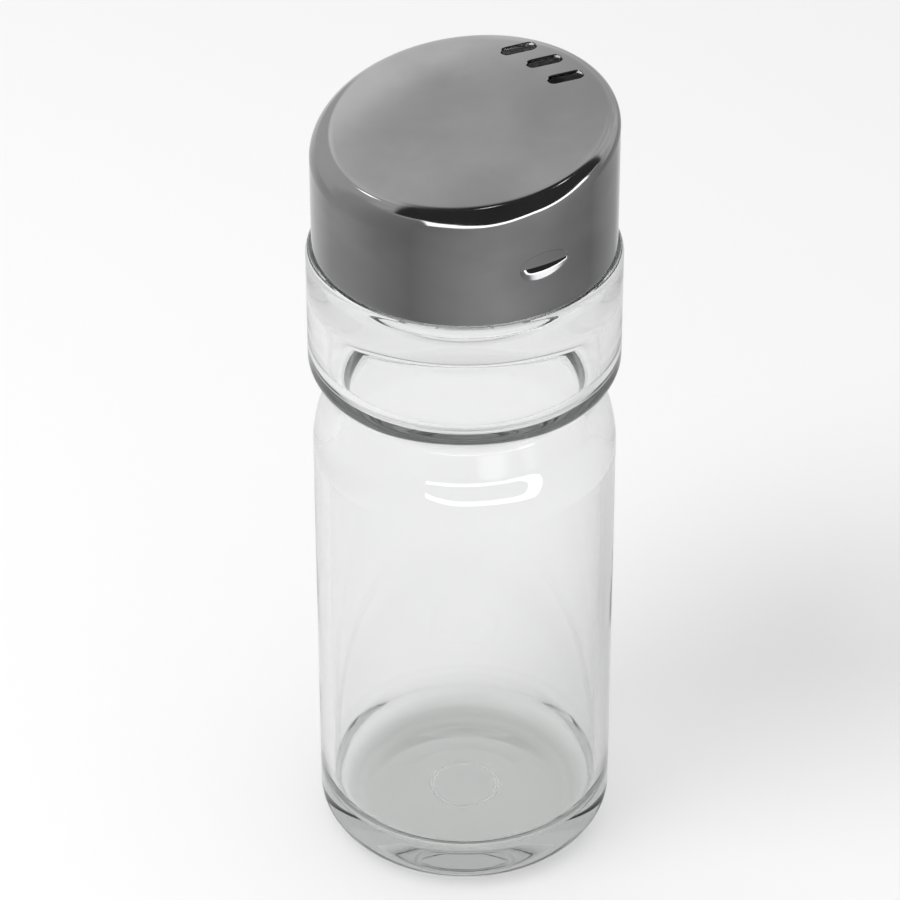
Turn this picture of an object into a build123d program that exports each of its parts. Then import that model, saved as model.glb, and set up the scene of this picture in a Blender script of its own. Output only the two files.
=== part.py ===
from build123d import *
from math import asin, cos, pi, radians, sin, sqrt, tan
import os

# Table shaker for ground spice: a glass jar, a deep-drawn metal cap with a slanted
# top and three pouring slots, and a soft ring between the glass rim and the cap.
# Millimetres. Z is the jar's axis, Z = 0 is the table, and the front is -Y.

# --- glass jar: outside, from the table up --------------------------------------
body_radius = 24.0              # straight wall
heel_round = 5.7                # rounding from the wall into the base
bearing_width = 2.1             # flat ring that the jar stands on, inside the heel
push_up = 1.3                   # height of the hollow under the base
push_up_slope = 5.7             # from the bearing ring to the hollow's flat middle
shoulder_height = 76.6          # where the straight wall starts to lean inwards
shoulder_round = 8.0
shoulder_rise = 11.0            # from there up to the groove
groove_depth = 4.25             # waist between body and collar, from the collar's face
groove_round = 1.6
groove_rise = 1.6               # from the groove up to the collar's lower corner
collar_overhang = 0.93          # the collar stands out past the cap
collar_bottom_round = 4.0
collar_height = 22.1            # wide band that the cap stands on
collar_bevel = 0.8              # fire-polished edge of the collar
rim_drop = 6.8                  # from the cap's slanted top, on the axis, to the rim
rim_bevel = 0.7                 # both edges of the rim

# --- glass jar: inside ----------------------------------------------------------
body_wall = 2.3
base_thickness = 6.3
floor_rise = 0.5                # the floor is a little higher in the middle
floor_bevel = 2.6               # from the floor into the wall
inner_shoulder_drop = 1.5       # the inside leans in this much below the outside
waist_wall = 2.6                # glass at the groove
waist_drop = 1.0                # the inner waist lies this much below the groove
collar_wall = 3.1
collar_hollow_start = 4.0       # above the collar's bottom, where the inside is widest
collar_hollow_end = 8.0         # below the collar's top, where it narrows again
neck_wall = 2.35
neck_bore_start = 3.5           # below the collar's top, where the neck's bore starts

# --- glass thread: two starts, right-handed -------------------------------------
thread_starts = 2
thread_lead = 8.0               # rise in one full turn
thread_depth = 1.1              # how far the bead stands out of the neck
thread_half_root = 1.1          # half its height at the neck
thread_half_crest = 0.4         # half its height at the crest
thread_root_sink = 0.6          # the bead's section starts this deep in the glass
thread_lead_in = 15.0           # degrees of bead before the lug's closed place
thread_turn = 130.0             # degrees of bead after the lug's closed place
lug_clearance = 0.4             # from the lug's top edge to the bead above it
bead_clearance = 0.77           # from the bead out to the cap's skirt

# --- metal cap ------------------------------------------------------------------
sheet = 0.5                     # thickness of the metal
cap_radius = 23.62
cap_gap = 0.2                   # from the collar's top to the cap's lower edge
cap_height = 21.7               # from the lower edge to the top, on the axis
top_tilt = 8.1                  # slant of the top, degrees
top_direction = 45.0            # the high side's direction about Z, degrees
top_edge_round = 2.2
crown_rise = 0.6                # the top is a shallow dome over its slant
crown_radius = 400.0

# --- pouring slots, at the top's high side --------------------------------------
slot_count = 3
slot_length = 5.6
slot_width = 2.1
slot_pitch = 5.45               # from one slot to the next, along the row
slot_row_inset = 5.87           # from the skirt in to the row, on the high side
slot_row_shift = 0.85           # the row's middle, sideways
slot_row_turn = -4.6            # the row's turn from square to the slant, degrees
slot_row_bow = 0.5              # the middle slot stands this much further out
slot_turn = -29.0               # each slot's turn from the slant's direction, degrees

# --- lugs, lanced inwards from the skirt ----------------------------------------
lug_count = 2
lug_direction = -59.3           # of the first lug, degrees about Z
lug_drop = 5.6                  # from the glass rim down to the sheared edge
lug_length = 8.4
lug_lip_drop = 2.0              # height of the pressed lip under the edge
lug_neck_gap = 0.37             # from the pressed lip to the glass neck
lug_tab_rise = 2.2              # height of the shallow tab above the edge
lug_tab_depth = 0.4

# --- rim ring -------------------------------------------------------------------
ring_seat_gap = 0.1             # to the glass rim, when closed
ring_plate = 0.8
ring_skirt = 0.5
ring_skirt_drop = 2.2
ring_fit = 0.06                 # radial clearance in the cap
ring_mouth_margin = 0.2         # the ring's hole is this much wider than the neck's

# --- places that follow from the sizes ------------------------------------------
bearing_inner_radius = body_radius - heel_round - bearing_width
push_up_radius = bearing_inner_radius - push_up_slope
collar_radius = cap_radius + collar_overhang
groove_radius = collar_radius - groove_depth
cap_inner_radius = cap_radius - sheet
neck_radius = cap_inner_radius - bead_clearance - thread_depth
lug_lip_depth = cap_inner_radius - neck_radius - lug_neck_gap
slot_row_distance = cap_radius - slot_row_inset
groove_height = shoulder_height + shoulder_rise
collar_bottom = groove_height + groove_rise
collar_top = collar_bottom + collar_height
cap_bottom = collar_top + cap_gap
top_height = cap_bottom + cap_height
rim_height = top_height - rim_drop
lug_edge_height = rim_height - lug_drop


def turned(corners, rounds):
    """Solid of revolution from (radius, height) corners, each inner one rounded."""
    outline = FilletPolyline(*corners, radius=rounds)
    axis_line = Line(outline @ 1, outline @ 0)
    section = make_face(Curve() + [outline, axis_line])
    return revolve(Plane.XZ * section, Axis.Z)


def about_axis(shape, degrees_about_z):
    return Rot(0, 0, degrees_about_z) * shape


def glass_blank():
    """The jar's glass without its thread."""
    outside = [
        ((push_up_radius, push_up), 0),
        ((bearing_inner_radius, 0), 0),
        ((body_radius, 0), heel_round),
        ((body_radius, shoulder_height), shoulder_round),
        ((groove_radius, groove_height), groove_round),
        ((collar_radius, collar_bottom), collar_bottom_round),
        ((collar_radius, collar_top - collar_bevel), 0),
        ((collar_radius - collar_bevel, collar_top), 0),
        ((neck_radius, collar_top), 0),
        ((neck_radius, rim_height - rim_bevel), 0),
        ((neck_radius - rim_bevel, rim_height), 0),
    ]
    bore_radius = neck_radius - neck_wall
    waist_radius = groove_radius - waist_wall
    collar_inner_radius = collar_radius - collar_wall
    wall_radius = body_radius - body_wall
    inside = [
        (bore_radius + rim_bevel, rim_height),
        (bore_radius, rim_height - rim_bevel),
        (bore_radius, collar_top - neck_bore_start),
        (collar_inner_radius, collar_top - collar_hollow_end),
        (collar_inner_radius, collar_bottom + collar_hollow_start),
        (waist_radius, groove_height - waist_drop),
        (wall_radius, shoulder_height - inner_shoulder_drop),
        (wall_radius, base_thickness + floor_bevel),
        (wall_radius - floor_bevel, base_thickness),
    ]
    corners = [corner for corner, _ in outside] + inside
    rounds = [rounding for _, rounding in outside] + [0] * len(inside)
    start = (0, push_up)
    end = (0, base_thickness + floor_rise)
    return turned([start] + corners + [end], rounds)


def thread_bead():
    """One start of the thread: a bead of trapezoid section along a helix."""
    swept = thread_lead_in + thread_turn
    path = Helix(thread_lead, thread_lead * swept / 360, neck_radius)
    section = Plane(path @ 0, x_dir=(1, 0, 0), z_dir=(0, 1, 0)) * make_face(
        Polyline(
            (-thread_root_sink, -thread_half_root),
            (0, -thread_half_root),
            (thread_depth, -thread_half_crest),
            (thread_depth, thread_half_crest),
            (0, thread_half_root),
            (-thread_root_sink, thread_half_root),
            close=True,
        )
    )
    bead = sweep(section, path, is_frenet=True)
    low = lug_edge_height + lug_clearance + thread_half_root
    low -= thread_lead * thread_lead_in / 360
    return about_axis(Pos(0, 0, low) * bead, lug_direction - thread_lead_in)


def make_glass_jar():
    jar = glass_blank()
    bead = thread_bead()
    for start in range(thread_starts):
        jar += about_axis(bead, start * 360 / thread_starts)
    return jar


def crown_place():
    """Plane on the top of the crown, with X pointing up the slant."""
    above_axis = Plane(origin=(0, 0, top_height + crown_rise))
    return above_axis * Rot(0, 0, top_direction) * Rot(0, -top_tilt, 0)


def edge_round_section(dome_radius, reach, radius, bevel):
    """What the top edge loses: the corner outside an arc, or outside its bevel.

    The arc runs from the dome to a wall at the distance reach from the crown's axis.
    """
    centre_x = reach - radius
    centre_y = sqrt((dome_radius - radius) ** 2 - centre_x ** 2) - crown_radius
    lean = asin(centre_x / (dome_radius - radius))
    on_dome, halfway, on_wall = (
        (centre_x + radius * sin(angle), centre_y + radius * cos(angle))
        for angle in (lean, (lean + pi / 2) / 2, pi / 2)
    )
    edge = Line(on_dome, on_wall) if bevel else ThreePointArc(on_dome, halfway, on_wall)
    far = 2 * reach
    outside = Polyline(on_wall, (far, centre_y), (far, radius), (on_dome[0], radius), on_dome)
    return make_face(Curve() + [edge, outside]), centre_y


def cap_form(radius, inset, edge_round, bevel=False):
    """A solid of the cap's outer shape, drawn in by inset."""
    up = (Align.CENTER, Align.CENTER, Align.MIN)
    post = Pos(0, 0, cap_bottom) * Cylinder(radius, 2 * cap_height, align=up)
    slope = radians(top_tilt)
    dome_radius = crown_radius - inset
    # the slanted edge is an ellipse; the round is turned about its long half
    section, edge_height = edge_round_section(
        dome_radius, radius / cos(slope), edge_round, bevel
    )
    place = crown_place() * Pos(edge_height * tan(slope), 0, 0)
    dome = place * Pos(0, 0, -crown_radius) * Rot(90, 0, 0) * Sphere(dome_radius)
    return (post & dome) - place * revolve(Plane.XZ * section, Axis.Z)


def slot_cutters():
    """Through cuts for the slots, square to the slanted top."""
    middle = (slot_count - 1) / 2
    cutters = []
    for index in range(slot_count):
        along = (index - middle) * slot_pitch
        bow = slot_row_bow * (1 - (index - middle) ** 2)
        place = Pos(slot_row_distance, slot_row_shift) * Rot(0, 0, slot_row_turn)
        slot = place * Pos(bow, along) * Rot(0, 0, slot_turn - slot_row_turn)
        outline = SlotOverall(slot_length, slot_width)
        cutters.append(crown_place() * slot * extrude(outline, cap_height / 4, both=True))
    return cutters


def lip_form(extra):
    """Lemon-shaped pressing of the lip, thicker by extra, about a level axis."""
    half = lug_length / 2
    fall = cap_radius - sqrt(cap_radius ** 2 - half ** 2)
    offset = (lug_lip_drop ** 2 - lug_lip_depth ** 2) / (2 * lug_lip_depth)
    depth = offset + lug_lip_depth
    sagitta = depth - offset - fall
    arc_radius = (half ** 2 + sagitta ** 2) / (2 * sagitta) + extra
    centre = depth + extra - arc_radius
    tip = sqrt(arc_radius ** 2 - centre ** 2)
    arc = ThreePointArc((-tip, 0), (0, depth + extra), (tip, 0))
    section = make_face(Curve() + [arc, Line((tip, 0), (-tip, 0))])
    lemon = revolve(section, Axis.X)
    lower_half = Pos(0, 0, -arc_radius) * Box(4 * tip, 4 * depth, 2 * arc_radius)
    place = Pos(cap_radius + offset, 0, lug_edge_height) * Rot(0, 0, 90)
    return place * (lemon & lower_half)


def tab_form(inner_radius, outer_radius, margin):
    """Shallow panel above the sheared edge, between two radii."""
    half = lug_length / 2 + margin
    arc = ThreePointArc((-half, 0), (0, lug_tab_rise + margin), (half, 0))
    outline = make_face(Curve() + [arc, Line((half, 0), (-half, 0))])
    plane = Plane(origin=(0, 0, lug_edge_height), x_dir=(0, 1, 0), z_dir=(1, 0, 0))
    block = extrude(plane * outline, 2 * cap_radius)
    tube_height = 4 * top_height
    return block & (Cylinder(outer_radius, tube_height) - Cylinder(inner_radius, tube_height))


def add_lug(cap, direction):
    """Press one lug in: a deep lip under the sheared edge, a shallow tab above it."""
    skirt_middle = cap_radius - sheet / 2
    core = Cylinder(skirt_middle, 4 * top_height)
    tab_floor = cap_radius - lug_tab_depth
    metal = (lip_form(sheet) & core) + tab_form(tab_floor - sheet, skirt_middle, sheet)
    hollow = lip_form(0) + tab_form(tab_floor, cap_radius + sheet, 0)
    cap += about_axis(metal, direction)
    return cap - about_axis(hollow, direction)


def make_cap():
    shell = cap_form(cap_radius, 0, top_edge_round)
    shell -= cap_form(cap_inner_radius, sheet, top_edge_round - sheet, bevel=True)
    cap = shell.solid() - slot_cutters()
    for index in range(lug_count):
        cap = add_lug(cap, lug_direction + index * 360 / lug_count)
    return cap


def make_rim_ring():
    """Soft ring of angle section: a plate on the rim, a skirt down the cap's wall."""
    outer = cap_inner_radius - ring_fit
    inner = neck_radius - neck_wall + ring_mouth_margin
    under = rim_height + ring_seat_gap
    corners = [
        (inner, under),
        (outer - ring_skirt, under),
        (outer - ring_skirt, under - ring_skirt_drop),
        (outer, under - ring_skirt_drop),
        (outer, under + ring_plate),
        (inner, under + ring_plate),
    ]
    section = make_face(Polyline(*corners, close=True))
    return revolve(Plane.XZ * section, Axis.Z)


if __name__ == "__main__":
    os.makedirs("parts", exist_ok=True)
    pieces = {
        "glass_jar": make_glass_jar(),
        "cap": make_cap(),
        "rim_ring": make_rim_ring(),
    }
    for name, piece in pieces.items():
        export_step(piece, f"parts/{name}.step")
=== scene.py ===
from math import atan2, copysign, cos, hypot, pi, radians, sin, sqrt, tan

import bmesh
import bpy
from mathutils import Matrix, Vector


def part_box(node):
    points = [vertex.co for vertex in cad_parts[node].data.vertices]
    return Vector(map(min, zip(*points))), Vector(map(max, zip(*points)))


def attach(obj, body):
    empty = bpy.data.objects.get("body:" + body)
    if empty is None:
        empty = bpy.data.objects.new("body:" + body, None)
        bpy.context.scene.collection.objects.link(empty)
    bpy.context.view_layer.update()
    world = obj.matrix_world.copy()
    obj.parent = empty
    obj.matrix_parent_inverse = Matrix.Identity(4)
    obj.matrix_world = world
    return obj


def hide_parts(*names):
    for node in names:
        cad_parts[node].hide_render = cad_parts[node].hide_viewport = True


# Glass spice shaker with a slanted, slotted metal cap. Metres. Z is the jar's axis,
# Z = 0 the table and -Y the front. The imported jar, cap and rim ring get their looks here.

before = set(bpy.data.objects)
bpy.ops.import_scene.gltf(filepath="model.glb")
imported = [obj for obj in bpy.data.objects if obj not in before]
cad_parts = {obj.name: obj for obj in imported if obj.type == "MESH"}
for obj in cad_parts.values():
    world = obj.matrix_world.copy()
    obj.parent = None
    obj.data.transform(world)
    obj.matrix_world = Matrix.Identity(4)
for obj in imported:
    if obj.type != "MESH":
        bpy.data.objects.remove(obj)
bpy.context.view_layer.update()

MM = 0.001

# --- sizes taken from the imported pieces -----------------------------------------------
jar_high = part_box("glass_jar")[1]
cap_low, cap_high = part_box("cap")
COLLAR_RADIUS = jar_high.x
RIM_HEIGHT = jar_high.z
CAP_RADIUS = cap_high.x
CAP_BOTTOM = cap_low.z

# --- fineness of the meshes -----------------------------------------------------------
FACETS_ROUND = 240  # once round the axis
SMALL_ROUND = 1 * MM  # rounds below this size get the fewer facets
SMALL_ROUND_FACETS = 6
ROUND_FACETS = 14
HAIR = 0.001 * MM

# --- glass jar, outside ---------------------------------------------------------------
BODY_RADIUS = 24.0 * MM
HEEL_ROUND = 5.7 * MM
BEARING_INNER = 16.2 * MM
BEARING_ROUND = 9 * MM
PUSH_UP = 1.3 * MM
PUSH_UP_RADIUS = 8 * MM
PUSH_UP_ROUND = 24 * MM
SHOULDER_HEIGHT = 78.8 * MM
SHOULDER_ROUND = 20 * MM
GROOVE_RADIUS = COLLAR_RADIUS - 4.25 * MM
GROOVE_HEIGHT = 87.6 * MM
GROOVE_ROUND = 1.6 * MM
COLLAR_BOTTOM = 89.2 * MM
COLLAR_BOTTOM_ROUND = 4 * MM
COLLAR_TOP = CAP_BOTTOM - 0.2 * MM
COLLAR_TOP_ROUND = 1.0 * MM
NECK_RADIUS = 21.25 * MM
NECK_FOOT_ROUND = 0.8 * MM
RIM_ROUND = 0.9 * MM
JAR_ROW = 2 * MM
CONE_ROW = 0.25 * MM
NECK_ROW = 0.35 * MM

# --- glass jar, inside ----------------------------------------------------------------
WALL_RADIUS = BODY_RADIUS - 2.3 * MM
WALL_TOP = SHOULDER_HEIGHT - 5.5 * MM
WALL_TOP_ROUND = 3 * MM
FLOOR_HEIGHT = 6.3 * MM
FLOOR_RISE = 0.3 * MM
FLOOR_ROUND = 4.5 * MM
WAIST_RADIUS = GROOVE_RADIUS - 2.6 * MM
WAIST_HEIGHT = GROOVE_HEIGHT - 1 * MM
HOLLOW_RADIUS = COLLAR_RADIUS - 3.1 * MM  # the wider space inside the collar
HOLLOW_BOTTOM = COLLAR_BOTTOM + 4 * MM
HOLLOW_TOP = COLLAR_TOP - 8 * MM
HOLLOW_ROUND = 4 * MM
BORE_RADIUS = NECK_RADIUS - 2.35 * MM
BORE_BOTTOM = COLLAR_TOP - 3.5 * MM

# --- plain mould ring under the base --------------------------------------------------
MOULD_RING_RADIUS = 5.4 * MM
MOULD_RING_WIDTH = 0.5 * MM
MOULD_RING_DEPTH = 0.3 * MM
MOULD_RING_SLANT = 0.1 * MM
MOULD_RING_FOOT_ROUND = 0.3 * MM
MOULD_RING_CREST_ROUND = 0.12 * MM

# --- cap ------------------------------------------------------------------------------
SHEET = 0.5 * MM
HEM_IN = 0.15 * MM
HEM_RISE = 0.25 * MM
CAP_TOP = CAP_BOTTOM + 21.7 * MM
TOP_SLOPE = tan(radians(8.1))
TOP_DIRECTION = radians(45)
TOP_EDGE_ROUND = 3.45 * MM  # on the low side, where the drawing left it widest
TOP_EDGE_REACH = 1.01 * TOP_EDGE_ROUND
EDGE_FACETS = 28
EDGE_WIDEST = radians(195)
EDGE_UNEVEN = 1.2 * MM  # how much tighter it is on the opposite side
EDGE_EASE = 5.4 * MM  # past this distance from the corner the edge changes nothing
CROWN_RISE = 0.545 * MM
CROWN_RADIUS = 400 * MM
SHEAR_START = 124.0 * MM
SHARP_ANGLE = radians(38)
CAP_ROW = 1.2 * MM
LUG_ROW = 0.6 * MM
LUG_ROWS_REACH = 3 * MM
EDGE_ROW = 0.25 * MM

# --- pouring slots --------------------------------------------------------------------
SLOT_COUNT = 3
SLOT_LENGTH = 5.6 * MM
SLOT_WIDTH = 2.1 * MM
SLOT_PITCH = 5.45 * MM
SLOT_ROW_DISTANCE = 17.75 * MM
SLOT_ROW_SHIFT = 0.85 * MM
SLOT_ROW_TURN = radians(-4.6)
SLOT_ROW_BOW = 0.5 * MM
SLOT_TURN = radians(-29)
SLOT_ROLL = 0.15 * MM  # the punch rolls the sheet's edge over by this much
SLOT_FACETS = 34
PUNCH_DEPTH = 4 * SHEET

# --- lugs -----------------------------------------------------------------------------
LUG_COUNT = 2
LUG_DIRECTION = radians(-59.3)
LUG_EDGE = RIM_HEIGHT - 5.6 * MM
LUG_LENGTH = 8.4 * MM
LUG_SKEW = 0.25  # the pressing is deepest this far towards its leading end
LUG_CUTS = 5
LUG_MARGIN = 1.2 * MM
WINDOW_SIDE = 1 * MM
WINDOW_MARGIN = 0.8 * MM
LIP_DROP = 2.6 * MM
LIP_DEPTH = 1.4 * MM
LIP_FOOT = 0.12  # share of the lip's height in which its slope begins
LIP_KNEE = 0.5  # share where it steepens
LIP_SLOPE = 0.40
LIP_CURL = 1.5
TAB_RISE = 2.3 * MM
TAB_DEPTH = 0.3 * MM
TAB_STEP = 0.25 * MM
TAB_FLARE = 0.1 * MM
TAB_FLARE_RISE = 0.5 * MM
LUG_BLUNTNESS = 2.2

# --- glass thread ---------------------------------------------------------------------
THREAD_STARTS = 2
THREAD_LEAD = 8.0 * MM
THREAD_DEPTH = 1.1 * MM
THREAD_HALF_ROOT = 1.1 * MM
THREAD_HALF_CREST = 0.4 * MM
THREAD_LEAD_IN = radians(15)
THREAD_SWEPT = radians(145)
THREAD_CLEARANCE = 0.4 * MM
THREAD_FADE = radians(8)
THREAD_FOOT = 2 * MM  # nothing of it reaches lower than this above the collar


# --- mesh helpers ---------------------------------------------------------------------
def wire(bm, corners):
    """A chain of vertices in the XZ plane from (radius, height) corners."""
    points = [bm.verts.new((radius, 0, height)) for radius, height in corners]
    for before, after in zip(points, points[1:]):
        bm.edges.new((before, after))
    return points


def round_corner(bm, corner, radius, segments):
    """Round one corner of a wire to a radius."""
    one, other = (edge.other_vert(corner).co - corner.co for edge in corner.link_edges)
    turn = pi - one.angle(other)
    bmesh.ops.bevel(
        bm,
        geom=[corner],
        offset=radius * tan(turn / 2),
        offset_type="OFFSET",
        segments=segments,
        profile=0.5,
        affect="VERTICES",
        material=-1,
    )


def divide_straights(bm, step, finer):
    """Cut the long edges of a wire, so that shading stays true next to a round. For
    some of them finer(edge) gives a smaller step."""
    for edge in list(bm.edges):
        own_step = finer(edge) or step
        cuts = round(edge.calc_length() / own_step) - 1
        if cuts > 0:
            bmesh.ops.subdivide_edges(bm, edges=[edge], cuts=cuts)


def turn_on_axis(bm, steps):
    """Spin everything once round Z and close the seam and the poles."""
    bmesh.ops.spin(
        bm,
        geom=bm.verts[:] + bm.edges[:],
        cent=(0, 0, 0),
        axis=(0, 0, 1),
        angle=2 * pi,
        steps=steps,
        use_merge=True,
    )
    bmesh.ops.remove_doubles(bm, verts=bm.verts[:], dist=2 * HAIR)
    bmesh.ops.recalc_face_normals(bm, faces=bm.faces[:])
    outermost = max(bm.faces, key=lambda face: face.calc_center_median().xy.length)
    if outermost.normal.dot(outermost.calc_center_median()) < 0:
        bmesh.ops.reverse_faces(bm, faces=bm.faces[:])


def finished(bm, name, material=None):
    """Make the object from its bmesh."""
    mesh = bpy.data.meshes.new(name)
    bm.to_mesh(mesh)
    bm.free()
    mesh.polygons.foreach_set("use_smooth", [True] * len(mesh.polygons))
    if material:
        mesh.materials.append(material)
    piece = bpy.data.objects.new(name, mesh)
    bpy.context.scene.collection.objects.link(piece)
    return piece


def apply_modifiers(piece):
    graph = bpy.context.evaluated_depsgraph_get()
    mesh = bpy.data.meshes.new_from_object(piece.evaluated_get(graph))
    piece.modifiers.clear()
    piece.data = mesh


# --- node helpers ---------------------------------------------------------------------
def new_material(name):
    material = bpy.data.materials.new(name)
    material.use_nodes = True
    tree = material.node_tree
    return material, tree, tree.nodes["Principled BSDF"]


def feed(tree, socket, value):
    """Link a socket's source to it, or set it to a plain value."""
    if isinstance(value, bpy.types.NodeSocket):
        tree.links.new(value, socket)
    else:
        socket.default_value = value


def maths(tree, operation, *values):
    node = tree.nodes.new("ShaderNodeMath")
    node.operation = operation
    for socket, value in zip(node.inputs, values):
        feed(tree, socket, value)
    return node.outputs[0]


def rise(tree, value, start, end, low=0.0, high=1.0, smooth=True):
    """From low to high while the value goes from start to end."""
    node = tree.nodes.new("ShaderNodeMapRange")
    node.interpolation_type = "SMOOTHSTEP" if smooth else "LINEAR"
    feed(tree, node.inputs["Value"], value)
    node.inputs["From Min"].default_value = start
    node.inputs["From Max"].default_value = end
    node.inputs["To Min"].default_value = low
    node.inputs["To Max"].default_value = high
    return node.outputs["Result"]


def band(tree, value, start, end, soft):
    """1 where the value lies between start and end, with soft edges."""
    up = rise(tree, value, start - soft, start + soft)
    down = rise(tree, value, end - soft, end + soft, 1.0, 0.0)
    return maths(tree, "MULTIPLY", up, down)


def blend(tree, share, one, other):
    node = tree.nodes.new("ShaderNodeMix")
    node.data_type = "FLOAT"
    feed(tree, node.inputs[0], share)
    feed(tree, node.inputs[2], one)
    feed(tree, node.inputs[3], other)
    return node.outputs[0]


def grey_ramp(tree, value, stops):
    """Grey levels at positions that rise from 0 to 1."""
    node = tree.nodes.new("ShaderNodeValToRGB")
    feed(tree, node.inputs["Fac"], value)
    elements = node.color_ramp.elements
    for position, _ in stops[1:-1]:
        elements.new(position)
    for element, (_, grey) in zip(elements, stops):
        element.color = (grey, grey, grey, 1)
    return node.outputs["Color"]


def fine_noise(tree, scale, detail, stretch=(1, 1, 1)):
    """A noise that is fixed to the piece itself."""
    place = tree.nodes.new("ShaderNodeTexCoord")
    mapping = tree.nodes.new("ShaderNodeMapping")
    mapping.inputs["Scale"].default_value = stretch
    noise = tree.nodes.new("ShaderNodeTexNoise")
    noise.inputs["Scale"].default_value = scale
    noise.inputs["Detail"].default_value = detail
    tree.links.new(place.outputs["Object"], mapping.inputs["Vector"])
    tree.links.new(mapping.outputs["Vector"], noise.inputs["Vector"])
    return noise.outputs["Fac"]


def uneven_colour(tree, shader, share, one, other):
    """Let the colour wander between two that lie close together."""
    tint = tree.nodes.new("ShaderNodeMix")
    tint.data_type = "RGBA"
    # sockets 6 and 7 are the node's two colours, and result 2 the colour between them
    tree.links.new(share, tint.inputs[0])
    tint.inputs[6].default_value = (*one, 1)
    tint.inputs[7].default_value = (*other, 1)
    tree.links.new(tint.outputs[2], shader.inputs["Base Color"])


def uneven_roughness(tree, shader, noise, least, most):
    roughness = rise(tree, noise, 0.3, 0.7, least, most, smooth=False)
    tree.links.new(roughness, shader.inputs["Roughness"])


def uneven_surface(tree, shader, noise, distance):
    bump = tree.nodes.new("ShaderNodeBump")
    bump.inputs["Distance"].default_value = distance
    tree.links.new(noise, bump.inputs["Height"])
    tree.links.new(bump.outputs["Normal"], shader.inputs["Normal"])


def mixed_shaders(tree, share, one, other):
    mix = tree.nodes.new("ShaderNodeMixShader")
    tree.links.new(share, mix.inputs[0])
    tree.links.new(one.outputs[0], mix.inputs[1])
    tree.links.new(other.outputs[0], mix.inputs[2])
    return mix.outputs[0]


# --- materials ------------------------------------------------------------------------
def clear_glass():
    """Pressed soda glass with the faint waves of its mould; lamps shine through it."""
    material, tree, glass = new_material("clear_glass")
    glass.inputs["Base Color"].default_value = (0.983, 0.986, 0.984, 1)
    glass.inputs["Roughness"].default_value = 0.0
    glass.inputs["IOR"].default_value = 1.5
    glass.inputs["Transmission Weight"].default_value = 1.0
    waves = fine_noise(tree, 90, 1.0, (1, 1, 0.5))
    uneven_surface(tree, glass, waves, 0.05 * MM)
    open_way = tree.nodes.new("ShaderNodeBsdfTransparent")
    open_way.inputs["Color"].default_value = (0.945, 0.95, 0.945, 1)
    from_lamp = tree.nodes.new("ShaderNodeLightPath").outputs["Is Shadow Ray"]
    output = tree.nodes["Material Output"]
    tree.links.new(mixed_shaders(tree, from_lamp, glass, open_way), output.inputs["Surface"])
    depth = tree.nodes.new("ShaderNodeVolumeAbsorption")
    depth.inputs["Color"].default_value = (0.5, 0.515, 0.51, 1)
    depth.inputs["Density"].default_value = 19.0
    tree.links.new(depth.outputs[0], output.inputs["Volume"])
    return material


def smoky_chrome():
    """Thin bright plating over drawn steel, a little smoky, with polishing haze."""
    material, tree, metal = new_material("smoky_chrome")
    metal.inputs["Metallic"].default_value = 1.0
    clouds = rise(tree, fine_noise(tree, 55, 3.0, (1, 1, 1.6)), 0.35, 0.65)
    uneven_colour(tree, metal, clouds, (0.53, 0.53, 0.54), (0.61, 0.61, 0.615))
    uneven_roughness(tree, metal, fine_noise(tree, 220, 4.0), 0.05, 0.11)
    uneven_surface(tree, metal, fine_noise(tree, 60, 1.0), 0.02 * MM)
    return material


def bare_steel_with_painted_shade():
    """The unpolished inner side of the drawn sheet, its grey kept far below steel's as painted
    shade for the inside of the cap.
    """
    material, tree, metal = new_material("bare_steel_with_painted_shade")
    metal.inputs["Metallic"].default_value = 1.0
    stain = fine_noise(tree, 160, 4.0)
    # painted shade: these near-black greys stand in for the shade inside the cap, on top of
    # the duller unplated steel
    uneven_colour(tree, metal, stain, (0.1, 0.1, 0.1), (0.17, 0.165, 0.16))
    uneven_roughness(tree, metal, stain, 0.4, 0.55)
    return material


def soft_ring_plastic():
    """Natural polyethylene with a faint moulded grain."""
    material, tree, plastic = new_material("soft_ring_plastic")
    mottle = fine_noise(tree, 400, 2.0)
    uneven_colour(tree, plastic, mottle, (0.78, 0.78, 0.74), (0.86, 0.86, 0.82))
    uneven_roughness(tree, plastic, mottle, 0.4, 0.55)
    uneven_surface(tree, plastic, fine_noise(tree, 2500, 2.0), 0.02 * MM)
    return material


# --- glass jar ------------------------------------------------------------------------
def thread_height(place, start_angle):
    """How far one bead of the thread stands out of the neck at this place."""
    angle = (atan2(place.y, place.x) - start_angle) % (2 * pi)
    if angle > THREAD_SWEPT:
        return 0
    low = LUG_EDGE + THREAD_CLEARANCE + THREAD_HALF_ROOT
    low -= THREAD_LEAD * THREAD_LEAD_IN / (2 * pi)
    off = abs(place.z - low - THREAD_LEAD * angle / (2 * pi))
    flank = (THREAD_HALF_ROOT - off) / (THREAD_HALF_ROOT - THREAD_HALF_CREST)
    fade = min(1, angle / THREAD_FADE, (THREAD_SWEPT - angle) / THREAD_FADE)
    return THREAD_DEPTH * fade * min(1, max(0, flank))


def on_neck(radius):
    return abs(radius - NECK_RADIUS) < 10 * HAIR


def raise_thread(bm):
    starts = [
        LUG_DIRECTION - THREAD_LEAD_IN + index * 2 * pi / THREAD_STARTS
        for index in range(THREAD_STARTS)
    ]
    for vert in bm.verts:
        radius = hypot(vert.co.x, vert.co.y)
        if vert.co.z > COLLAR_TOP + THREAD_FOOT and on_neck(radius):
            grow = 1 + max(thread_height(vert.co, start) for start in starts) / radius
            vert.co.x *= grow
            vert.co.y *= grow


def jar_row(edge):
    """Finer rows on the threaded neck and on the shoulder's cone."""
    if all(on_neck(vert.co.x) for vert in edge.verts):
        return NECK_ROW
    on_cone = all(
        SHOULDER_HEIGHT < vert.co.z < GROOVE_HEIGHT and vert.co.x > GROOVE_RADIUS
        for vert in edge.verts
    )
    return CONE_ROW if on_cone else None


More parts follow.
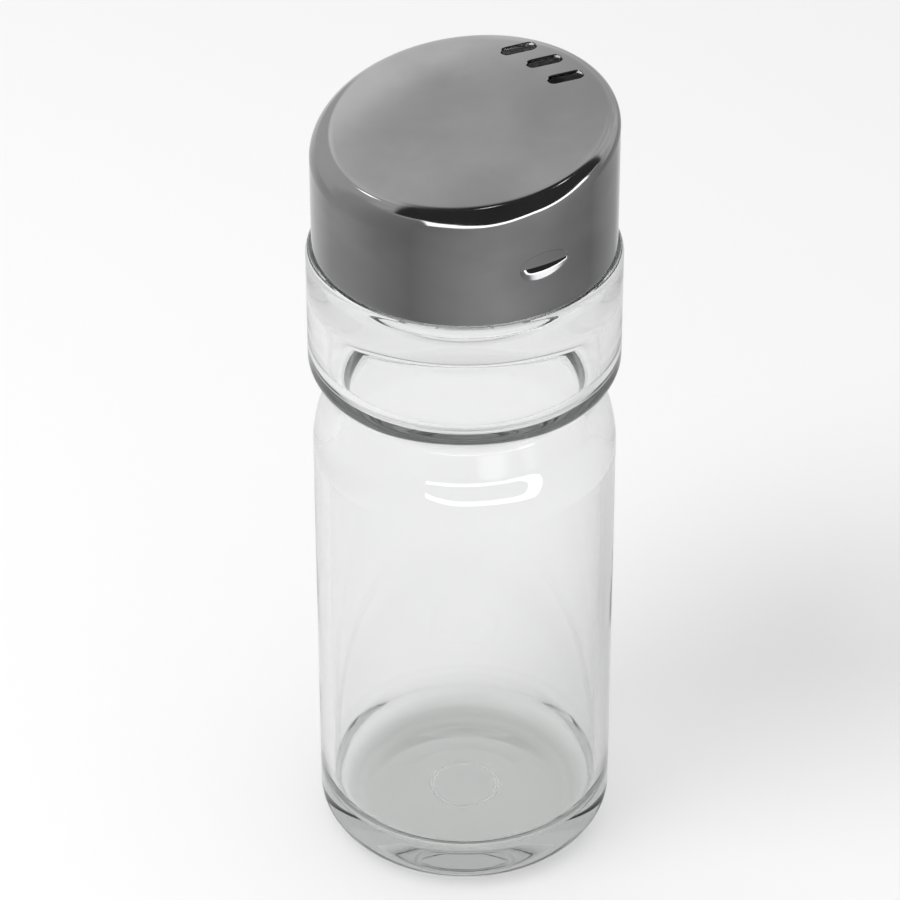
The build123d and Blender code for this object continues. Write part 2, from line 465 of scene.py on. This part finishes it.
def make_jar(material):
    ring_in = MOULD_RING_RADIUS - MOULD_RING_WIDTH / 2
    ring_out = MOULD_RING_RADIUS + MOULD_RING_WIDTH / 2
    ring_low = PUSH_UP - MOULD_RING_DEPTH
    outline = [
        ((0, PUSH_UP), 0),
        ((ring_in, PUSH_UP), MOULD_RING_FOOT_ROUND),
        ((ring_in + MOULD_RING_SLANT, ring_low), MOULD_RING_CREST_ROUND),
        ((ring_out - MOULD_RING_SLANT, ring_low), MOULD_RING_CREST_ROUND),
        ((ring_out, PUSH_UP), MOULD_RING_FOOT_ROUND),
        ((PUSH_UP_RADIUS, PUSH_UP), PUSH_UP_ROUND),
        ((BEARING_INNER, 0), BEARING_ROUND),
        ((BODY_RADIUS, 0), HEEL_ROUND),
        ((BODY_RADIUS, SHOULDER_HEIGHT), SHOULDER_ROUND),
        ((GROOVE_RADIUS, GROOVE_HEIGHT), GROOVE_ROUND),
        ((COLLAR_RADIUS, COLLAR_BOTTOM), COLLAR_BOTTOM_ROUND),
        ((COLLAR_RADIUS, COLLAR_TOP), COLLAR_TOP_ROUND),
        ((NECK_RADIUS, COLLAR_TOP), NECK_FOOT_ROUND),
        ((NECK_RADIUS, RIM_HEIGHT), RIM_ROUND),
        ((BORE_RADIUS, RIM_HEIGHT), RIM_ROUND),
        ((BORE_RADIUS, BORE_BOTTOM), HOLLOW_ROUND),
        ((HOLLOW_RADIUS, HOLLOW_TOP), HOLLOW_ROUND),
        ((HOLLOW_RADIUS, HOLLOW_BOTTOM), HOLLOW_ROUND),
        ((WAIST_RADIUS, WAIST_HEIGHT), HOLLOW_ROUND),
        ((WALL_RADIUS, WALL_TOP), WALL_TOP_ROUND),
        ((WALL_RADIUS, FLOOR_HEIGHT), FLOOR_ROUND),
        ((0, FLOOR_HEIGHT + FLOOR_RISE), 0),
    ]
    bm = bmesh.new()
    corners = wire(bm, [corner for corner, _ in outline])
    for corner, (_, rounding) in zip(corners, outline):
        if rounding:
            facets = SMALL_ROUND_FACETS if rounding < SMALL_ROUND else ROUND_FACETS
            round_corner(bm, corner, rounding, facets)
    divide_straights(bm, JAR_ROW, jar_row)
    turn_on_axis(bm, FACETS_ROUND)
    raise_thread(bm)
    jar = finished(bm, "jar_glass", material)
    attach(jar, "jar")
    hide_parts("glass_jar")


# --- cap ------------------------------------------------------------------------------
def crown_height(radius):
    """Height of the crowned top before it is slanted."""
    return CAP_TOP + CROWN_RISE - CROWN_RADIUS + sqrt(CROWN_RADIUS ** 2 - radius ** 2)


def uphill(place):
    """Distance from the axis towards the high side of the top."""
    return place.x * cos(TOP_DIRECTION) + place.y * sin(TOP_DIRECTION)


def slant(vert):
    """Raise one side of the cap's upper part, with the skirt's foot left level."""
    ramp_end = crown_height(CAP_RADIUS) - TOP_EDGE_ROUND
    share = min(1, max(0, (vert.co.z - SHEAR_START) / (ramp_end - SHEAR_START)))
    vert.co.z += share * TOP_SLOPE * uphill(vert.co)


def edge_round(turn):
    """The edge's round in this direction."""
    return TOP_EDGE_ROUND - EDGE_UNEVEN * (1 - cos(turn - EDGE_WIDEST)) / 2


def drawn_in(distance, own_round):
    """A distance from the corner after the edge is drawn in to its own round."""
    if distance < TOP_EDGE_REACH:
        return distance * own_round / TOP_EDGE_ROUND
    left = (EDGE_EASE - distance) / (EDGE_EASE - TOP_EDGE_ROUND)
    return distance - max(0, left) * (TOP_EDGE_ROUND - own_round)


def tighten_edge(bm):
    """Draw the rounded edge in towards its corner, all round by its own amount."""
    corner = crown_height(CAP_RADIUS)
    for vert in bm.verts:
        radius = hypot(vert.co.x, vert.co.y)
        if radius < CAP_RADIUS - EDGE_EASE or vert.co.z < corner - EDGE_EASE:
            continue
        own_round = edge_round(atan2(vert.co.y, vert.co.x))
        new_radius = CAP_RADIUS - drawn_in(CAP_RADIUS - radius, own_round)
        if radius < CAP_RADIUS - TOP_EDGE_REACH:
            vert.co.z = crown_height(new_radius)
        else:
            vert.co.z = corner - drawn_in(corner - vert.co.z, own_round)
        vert.co.x *= new_radius / radius
        vert.co.y *= new_radius / radius


def bowed(share):
    """1 in the middle of a pressing, falling to 0 at its blunt ends."""
    return sqrt(max(0, 1 - abs(share) ** LUG_BLUNTNESS))


def lip_depth(share, down):
    """Depth of the pressed lip: a soft foot, a long easy slope, then steep to the edge."""
    bow = bowed(share + LUG_SKEW * (1 - share * share))
    height = LIP_DROP * bow
    if down >= height:
        return 0
    up = 1 - down / height
    foot = min(up, LIP_FOOT) ** 2 / (2 * LIP_FOOT)
    slope = max(0, min(up, LIP_KNEE) - LIP_FOOT)
    steep = max(0, up - LIP_KNEE)
    easy = LIP_SLOPE * height * (foot + slope + steep)
    rest = LIP_DEPTH * bow - LIP_SLOPE * height * (1 - LIP_FOOT / 2)
    return easy + rest * (steep / (1 - LIP_KNEE)) ** LIP_CURL


def tab_depth(share, up):
    """Depth of the shallow panel above the edge, which flares out again at the edge."""
    inside = TAB_RISE * bowed(share) - up
    if inside <= 0:
        return 0
    flare = TAB_FLARE * max(0, 1 - up / TAB_FLARE_RISE) ** 2
    return max(0, TAB_DEPTH * min(1, inside / TAB_STEP) - flare)


def press_lug(bm, direction):
    """Shear the skirt along a level line and press the metal in below and above it."""
    half = LUG_LENGTH / 2

    def along(place):
        turn = atan2(place.y, place.x) - direction
        return CAP_RADIUS * ((turn + pi) % (2 * pi) - pi)

    def in_window(vert):
        near = abs(along(vert.co)) < half + WINDOW_SIDE
        up = vert.co.z - LUG_EDGE
        return near and -LIP_DROP - WINDOW_MARGIN < up < TAB_RISE + WINDOW_MARGIN

    def on_edge(vert):
        return abs(vert.co.z - LUG_EDGE) < HAIR

    window = [edge for edge in bm.edges if all(in_window(vert) for vert in edge.verts)]
    bmesh.ops.subdivide_edges(bm, edges=window, cuts=LUG_CUTS, use_grid_fill=True)
    sheared = [
        edge
        for edge in bm.edges
        if all(on_edge(vert) and abs(along(vert.co)) < half for vert in edge.verts)
    ]
    bmesh.ops.split_edges(bm, edges=sheared)
    for vert in [vert for vert in bm.verts if in_window(vert)]:
        share = along(vert.co) / half
        up = vert.co.z - LUG_EDGE
        if on_edge(vert):
            centres = [face.calc_center_median().z for face in vert.link_faces]
            above = sum(centres) / len(centres) > LUG_EDGE
        else:
            above = up > 0
        depth = tab_depth(share, max(0, up)) if above else lip_depth(share, max(0, -up))
        shrink = (CAP_RADIUS - depth) / hypot(vert.co.x, vert.co.y)
        vert.co.x *= shrink
        vert.co.y *= shrink


def slot_place(index):
    """Where a slot's middle sits on the slanted crown, with X along the slot."""
    step = index - (SLOT_COUNT - 1) / 2
    crown = Matrix.Translation((0, 0, CAP_TOP + CROWN_RISE))
    crown @= Matrix.Rotation(TOP_DIRECTION, 4, "Z")
    crown @= Matrix.Rotation(-atan2(TOP_SLOPE, 1), 4, "Y")
    row = Matrix.Translation((SLOT_ROW_DISTANCE, SLOT_ROW_SHIFT, 0))
    row @= Matrix.Rotation(SLOT_ROW_TURN, 4, "Z")
    own = Matrix.Translation((SLOT_ROW_BOW * (1 - step * step), step * SLOT_PITCH, 0))
    own @= Matrix.Rotation(SLOT_TURN - SLOT_ROW_TURN, 4, "Z")
    flat = crown @ row @ own
    middle = flat.translation
    radius = hypot(middle.x, middle.y)
    middle.z = crown_height(radius) + TOP_SLOPE * uphill(middle)
    fall = 1 / sqrt(CROWN_RADIUS ** 2 - radius ** 2)
    normal = Vector(
        (
            middle.x * fall - TOP_SLOPE * cos(TOP_DIRECTION),
            middle.y * fall - TOP_SLOPE * sin(TOP_DIRECTION),
            1,
        )
    ).normalized()
    side = normal.cross(flat.to_3x3() @ Vector((1, 0, 0))).normalized()
    turned = Matrix((side.cross(normal), side, normal)).transposed().to_4x4()
    return Matrix.Translation(middle) @ turned


def add_slot_cutter(bm, place):
    """A closed stub as wide as the slot, flared at the top for the rolled edge."""
    reach = (SLOT_LENGTH - SLOT_WIDTH) / 2
    profile = (
        (-PUNCH_DEPTH, 0),
        (-SLOT_ROLL, 0),
        (0, SLOT_ROLL),
        (SHEET, SHEET + SLOT_ROLL),
    )
    made = []
    rings = []
    for height, grow in profile:
        circle = bmesh.ops.create_circle(
            bm, radius=SLOT_WIDTH / 2 + grow, segments=SLOT_FACETS
        )
        verts = circle["verts"]
        for vert in verts:
            vert.co.x += copysign(reach, vert.co.x)
            vert.co.z = height
        made += verts
        rings.append(list({edge for vert in verts for edge in vert.link_edges}))
    for lower, upper in zip(rings, rings[1:]):
        bmesh.ops.bridge_loops(bm, edges=lower + upper)
    bmesh.ops.edgeloop_fill(bm, edges=rings[0])
    bmesh.ops.edgeloop_fill(bm, edges=rings[-1])
    bmesh.ops.transform(bm, matrix=place, verts=made)


def cut_slots(cap):
    bm = bmesh.new()
    for index in range(SLOT_COUNT):
        add_slot_cutter(bm, slot_place(index))
    bmesh.ops.recalc_face_normals(bm, faces=bm.faces[:])
    punches = finished(bm, "slot_punches")
    cut = cap.modifiers.new("slots", "BOOLEAN")
    cut.operation = "DIFFERENCE"
    cut.solver = "EXACT"
    cut.object = punches
    apply_modifiers(cap)
    bpy.data.objects.remove(punches, do_unlink=True)


def cap_row(edge):
    """Finer rows round the lugs and on both sides of the rounded edge."""
    middle = (edge.verts[0].co + edge.verts[1].co) / 2
    if abs(middle.z - LUG_EDGE) < LUG_ROWS_REACH:
        return LUG_ROW
    by_edge = middle.z > crown_height(CAP_RADIUS) - EDGE_EASE
    return EDGE_ROW if by_edge and middle.x > CAP_RADIUS - EDGE_EASE else None


def make_cap(material, inner_material):
    bm = bmesh.new()
    edge_height = crown_height(CAP_RADIUS)
    outline = [
        (CAP_RADIUS - HEM_IN, CAP_BOTTOM),
        (CAP_RADIUS, CAP_BOTTOM + HEM_RISE),
        (CAP_RADIUS, LUG_EDGE - LIP_DROP - LUG_MARGIN),
        (CAP_RADIUS, LUG_EDGE),
        (CAP_RADIUS, LUG_EDGE + TAB_RISE + LUG_MARGIN),
        (CAP_RADIUS, edge_height - EDGE_EASE),
        (CAP_RADIUS, edge_height),
        (CAP_RADIUS - EDGE_EASE, crown_height(CAP_RADIUS - EDGE_EASE)),
        (0, crown_height(0)),
    ]
    corners = wire(bm, outline)
    edge_corner = corners[outline.index((CAP_RADIUS, edge_height))]
    round_corner(bm, edge_corner, TOP_EDGE_ROUND, EDGE_FACETS)
    divide_straights(bm, CAP_ROW, cap_row)
    for vert in bm.verts:
        if vert.co.x < CAP_RADIUS - TOP_EDGE_ROUND * 0.99:
            vert.co.z = crown_height(vert.co.x)
    turn_on_axis(bm, FACETS_ROUND)
    tighten_edge(bm)
    for index in range(LUG_COUNT):
        press_lug(bm, LUG_DIRECTION + index * 2 * pi / LUG_COUNT)
    for vert in bm.verts:
        slant(vert)
    cap = finished(bm, "cap_metal", material)
    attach(cap, "cap")
    # the sheet's inner faces get the darkened inner material, painted shade inside the cap
    cap.data.materials.append(inner_material)
    shell = cap.modifiers.new("sheet", "SOLIDIFY")
    shell.thickness = SHEET
    shell.offset = -1
    shell.material_offset = 1
    apply_modifiers(cap)
    cut_slots(cap)
    cap.data.set_sharp_from_angle(angle=SHARP_ANGLE)
    cap.data.name = "cap_metal"
    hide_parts("cap")


def dress_ring(material):
    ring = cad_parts["rim_ring"]
    ring.data.materials.clear()
    ring.data.materials.append(material)


# --- stage: floor, lamps, camera ------------------------------------------------------
SKY_STRENGTH = 0.78
BOX_STRENGTH = 2.0
TUBE_STRENGTH = 2.5
ROOF_TONE = 0.03

# The bent lamp's light leaves the shoulder's front; directions in degrees.
LAMP_STRENGTH = 6.0
LAMP_RADIUS = 0.25
LAMP_SAG = 0.068  # the lamp hangs lower towards its ends
LAMP_ENDS = (-28, 35)
LAMP_STEP = 7
LAMP_END_LIFT = 4.4
LOWER_ARM = (-14.9, -11.3)
UPPER_ARM = (4.9, 0.9)
BEND_STEPS = 20
MIRROR_RADIUS = 23.3 * MM
MIRROR_HEIGHT = 81.0 * MM
MIRROR_CLIMB = 0.17 * MM  # per degree
MIRROR_LAG = 1.8  # the light turns this much faster than the place that mirrors it

KEY_LAMP_PLACE = (-0.45, -0.3, 0.9)
KEY_LAMP_TARGET = (0, 0, 0.06)
KEY_LAMP_SIZE = 0.5
KEY_LAMP_POWER = 5.6

CAMERA_PLACE = (0, -0.57448, 0.48840)
CAMERA_PITCH = radians(54.07)
CAMERA_LENS = 178.57
CAMERA_SHIFT = -0.016256

# Share of a turn, from behind (0) by the left and the front (0.5) back round to behind,
# with the grey of the table there.
TABLE_TONES = (
    (0.0, 0.85),
    (0.08, 0.6),
    (0.167, 0.38),
    (0.25, 0.33),
    (0.314, 0.24),
    (0.385, 0.185),
    (0.45, 0.25),
    (0.5, 0.3),
    (0.575, 0.35),
    (0.65, 0.31),
    (0.72, 0.25),
    (0.8, 0.2),
    (0.92, 0.4),
    (1.0, 0.85),
)
# The same shares of a turn, with the upward part of the way to the long soft box.
BOX_HEIGHTS = (
    (0.0, 0.72),
    (0.36, 0.7),
    (0.426, 0.6),
    (0.452, 0.54),
    (0.475, 0.45),
    (0.501, 0.36),
    (0.523, 0.27),
    (0.546, 0.223),
    (0.569, 0.212),
    (0.592, 0.235),
    (0.616, 0.24),
    (0.64, 0.185),
    (0.666, 0.185),
    (0.694, 0.256),
    (0.728, 0.38),
    (1.0, 0.4),
)
# The small tubes: from where to where they lie, to the right and to the back.
TUBES = (
    ((-0.115, -0.075), (0.385, 0.42)),
    ((0.19, 0.245), (0.28, 0.315)),
    ((-0.42, -0.375), (0.415, 0.49)),
)


def make_floor():
    bm = bmesh.new()
    bmesh.ops.create_circle(bm, cap_ends=True, radius=4.0, segments=96)
    material, tree, paint = new_material("pale_floor")
    paint.inputs["Base Color"].default_value = (0.84, 0.84, 0.84, 1)
    paint.inputs["Roughness"].default_value = 0.9
    paint.inputs["Specular IOR Level"].default_value = 0.0
    floor = finished(bm, "floor", material)
    floor.visible_glossy = False


def lamp_place(azimuth, level):
    """Where light that leaves the shoulder's front in this direction meets the lamp's
    upright arc."""
    turn = radians(azimuth)
    lag = turn / MIRROR_LAG
    level_there = radians(level) - LAMP_SAG * turn * turn
    start_height = MIRROR_HEIGHT + MIRROR_CLIMB * level
    side = MIRROR_RADIUS * sin(lag)
    ahead = MIRROR_RADIUS * cos(lag)
    reach = sqrt(LAMP_RADIUS ** 2 - side ** 2) - ahead
    return (
        side + reach * sin(turn),
        -ahead - reach * cos(turn),
        start_height + reach * tan(level_there),
    )


def lamp_rims():
    """The outer and the inner rim of the bent lamp as (azimuth, level)."""
    start, end = LAMP_ENDS
    outer = []
    inner = []
    for azimuth in range(start, end + 1, LAMP_STEP):
        lift = LAMP_END_LIFT * (min(0, azimuth) / start) ** 2
        outer.append((azimuth, lift + LOWER_ARM[0]))
        inner.append((azimuth, lift + LOWER_ARM[1]))
    for step in range(BEND_STEPS + 1):
        turn = radians(-90 + 180 / BEND_STEPS * step)
        outer.append((42 + 15.4 * abs(cos(turn)) ** 0.6, -5.0 + 9.9 * sin(turn)))
        inner.append((37 + 9.0 * abs(cos(turn)) ** 0.8, -5.2 + 6.1 * sin(turn)))
    for azimuth in range(end, start - 1, -LAMP_STEP):
        outer.append((azimuth, UPPER_ARM[0]))
        inner.append((azimuth, UPPER_ARM[1]))
    return outer, inner


def lamp_glow():
    """Bright in sharp reflections, and clear to all other light."""
    material = bpy.data.materials.new("lamp_glow")
    material.use_nodes = True
    tree = material.node_tree
    tree.nodes.remove(tree.nodes["Principled BSDF"])
    glow = tree.nodes.new("ShaderNodeEmission")
    glow.inputs["Strength"].default_value = LAMP_STRENGTH
    clear = tree.nodes.new("ShaderNodeBsdfTransparent")
    sharp = tree.nodes.new("ShaderNodeLightPath").outputs["Is Singular Ray"]
    surface = tree.nodes["Material Output"].inputs["Surface"]
    tree.links.new(mixed_shaders(tree, sharp, clear, glow), surface)
    return material


def make_bent_lamp():
    """A bright tube bent back on itself. Only the glass, which mirrors sharply, shows it."""
    bm = bmesh.new()
    rims = [[bm.verts.new(lamp_place(*spot)) for spot in rim] for rim in lamp_rims()]
    for index in range(len(rims[0]) - 1):
        ends = [rim[index] for rim in rims] + [rim[index + 1] for rim in reversed(rims)]
        bm.faces.new(ends)
    lamp = finished(bm, "bent_lamp", lamp_glow())
    for kind in ("camera", "diffuse", "transmission", "volume_scatter", "shadow"):
        setattr(lamp, "visible_" + kind, False)


def times(tree, first, *others):
    product = first
    for other in others:
        product = maths(tree, "MULTIPLY", product, other)
    return product


def plus(tree, one, other):
    return maths(tree, "ADD", one, other)


def minus(tree, one, other):
    return maths(tree, "SUBTRACT", one, other)


def tent_tone(tree, way, right):
    """A pale tent all round, darker at the far left and faintly clouded."""
    clouds = tree.nodes.new("ShaderNodeTexNoise")
    clouds.inputs["Scale"].default_value = 5.0
    clouds.inputs["Detail"].default_value = 2.0
    tree.links.new(way, clouds.inputs["Vector"])
    tent = rise(tree, right, -0.25, -0.1, 0.6, 0.5)
    tent = blend(tree, rise(tree, right, -0.34, -0.28, 1.0, 0.0), tent, 0.42)
    return plus(tree, tent, rise(tree, clouds.outputs["Fac"], 0.3, 0.7, -0.07, 0.07))


def with_backdrop(tree, tone, right, back, up):
    """The backdrop behind the tent, under the tent's slanting upper edge."""
    tent_edge = plus(tree, up, times(tree, right, 0.57))
    share = rise(tree, tent_edge, 0.52, 0.55, 1.0, 0.0)
    share = times(tree, share, rise(tree, back, 0.15, 0.35))
    backdrop = rise(tree, right, -0.34, -0.24, 0.45, 0.72)
    backdrop = blend(tree, rise(tree, right, -0.05, 0.2), backdrop, 0.5)
    return blend(tree, share, tone, backdrop)


def with_roof(tree, tone, right, back, above):
    """A black roof over the soft box. It ends before the cap's flat top can show it."""
    behind = maths(tree, "MAXIMUM", minus(tree, back, 0.15), 0.0)
    roof = rise(tree, plus(tree, above, behind), 0.07, 0.09)
    roof_end = plus(tree, back, times(tree, right, 0.37))
    roof = times(tree, roof, rise(tree, roof_end, 0.54, 0.59, 1.0, 0.0))
    sideways = minus(tree, times(tree, right, 0.87), times(tree, back, 0.495))
    roof = times(tree, roof, rise(tree, sideways, -0.48, -0.445))
    return blend(tree, roof, tone, ROOF_TONE)


def with_table(tree, tone, turn, back, up, above):
    """The table, and its grey in all that lies in front below the soft box."""
    below = rise(tree, above, 0.0, 0.08, 1.0, 0.0)
    below = times(tree, below, rise(tree, back, 0.15, 0.35, 1.0, 0.0))
    below = maths(tree, "MAXIMUM", below, rise(tree, up, -0.02, 0.04, 1.0, 0.0))
    return blend(tree, below, tone, grey_ramp(tree, turn, TABLE_TONES))


def soft_box(tree, right, back, above):
    """A long soft box in front, high at the left and low at the right."""
    box = rise(tree, above, -0.12, -0.07)
    box = times(tree, box, rise(tree, above, 0.06, 0.085, 1.0, 0.0))
    box = times(tree, box, rise(tree, right, -0.5, -0.47))
    box = times(tree, box, rise(tree, back, -0.08, 0.0, 1.0, 0.0))
    return times(tree, box, BOX_STRENGTH)


def studio_tone(tree):
    """The grey level that reflections find in each direction round the object."""
    way = tree.nodes.new("ShaderNodeTexCoord").outputs["Generated"]
    split = tree.nodes.new("ShaderNodeSeparateXYZ")
    tree.links.new(way, split.inputs[0])
    right, back, up = split.outputs
    front = times(tree, back, -1.0)
    turn = rise(tree, maths(tree, "ARCTAN2", right, front), -pi, pi, smooth=False)
    above = minus(tree, up, grey_ramp(tree, turn, BOX_HEIGHTS))
    tone = tent_tone(tree, way, right)
    tone = with_backdrop(tree, tone, right, back, up)
    tone = with_roof(tree, tone, right, back, above)
    tone = with_table(tree, tone, turn, back, up, above)
    tone = plus(tree, tone, soft_box(tree, right, back, above))
    # small tubes that glint in the cap's edge
    for sideways, backwards in TUBES:
        tube = band(tree, right, *sideways, 0.01)
        tube = times(tree, tube, band(tree, back, *backwards, 0.012), rise(tree, up, 0.4, 0.5))
        tone = plus(tree, tone, times(tree, tube, TUBE_STRENGTH))
    return tone


def make_world():
    """An even white sky, with the studio's greys in its place for reflections."""
    world = bpy.data.worlds.new("studio")
    bpy.context.scene.world = world
    world.use_nodes = True
    tree = world.node_tree
    sky = tree.nodes["Background"]
    sky.inputs["Color"].default_value = (1, 1, 1, 1)
    sky.inputs["Strength"].default_value = SKY_STRENGTH
    mirrored = tree.nodes.new("ShaderNodeBackground")
    mirrored.inputs["Color"].default_value = (1, 1, 1, 1)
    tree.links.new(studio_tone(tree), mirrored.inputs["Strength"])
    ray = tree.nodes.new("ShaderNodeLightPath")
    outside = minus(tree, 1.0, ray.outputs["Is Transmission Ray"])
    reflected = times(tree, ray.outputs["Is Glossy Ray"], outside)
    surface = tree.nodes["World Output"].inputs["Surface"]
    tree.links.new(mixed_shaders(tree, reflected, sky, mirrored), surface)


def make_key_lamp():
    data = bpy.data.lights.new("key_lamp", "AREA")
    data.shape = "DISK"
    data.size = KEY_LAMP_SIZE
    data.energy = KEY_LAMP_POWER
    lamp = bpy.data.objects.new("key_lamp", data)
    bpy.context.scene.collection.objects.link(lamp)
    lamp.location = KEY_LAMP_PLACE
    aim = Vector(KEY_LAMP_TARGET) - Vector(KEY_LAMP_PLACE)
    lamp.rotation_euler = aim.to_track_quat("-Z", "Y").to_euler()
    lamp.visible_glossy = False
    lamp.visible_transmission = False


def make_camera():
    data = bpy.data.cameras.new("camera")
    data.lens = CAMERA_LENS
    data.sensor_width = 36
    data.shift_x = CAMERA_SHIFT
    data.clip_start = 0.05
    camera = bpy.data.objects.new("camera", data)
    bpy.context.scene.collection.objects.link(camera)
    camera.location = CAMERA_PLACE
    camera.rotation_euler = (CAMERA_PITCH, 0, 0)
    bpy.context.scene.camera = camera


def allow_long_light_paths():
    """Light crosses and recrosses many walls of glass before it leaves the jar."""
    paths = bpy.context.scene.cycles
    paths.max_bounces = 40
    paths.glossy_bounces = 24
    paths.transmission_bounces = 40
    paths.transparent_max_bounces = 24


# --- put together ---------------------------------------------------------------------
bpy.context.scene.view_settings.view_transform = "Standard"
allow_long_light_paths()
make_camera()
make_world()
make_floor()
make_bent_lamp()
make_key_lamp()

make_jar(clear_glass())
make_cap(smoky_chrome(), bare_steel_with_painted_shade())
dress_ring(soft_ring_plastic())
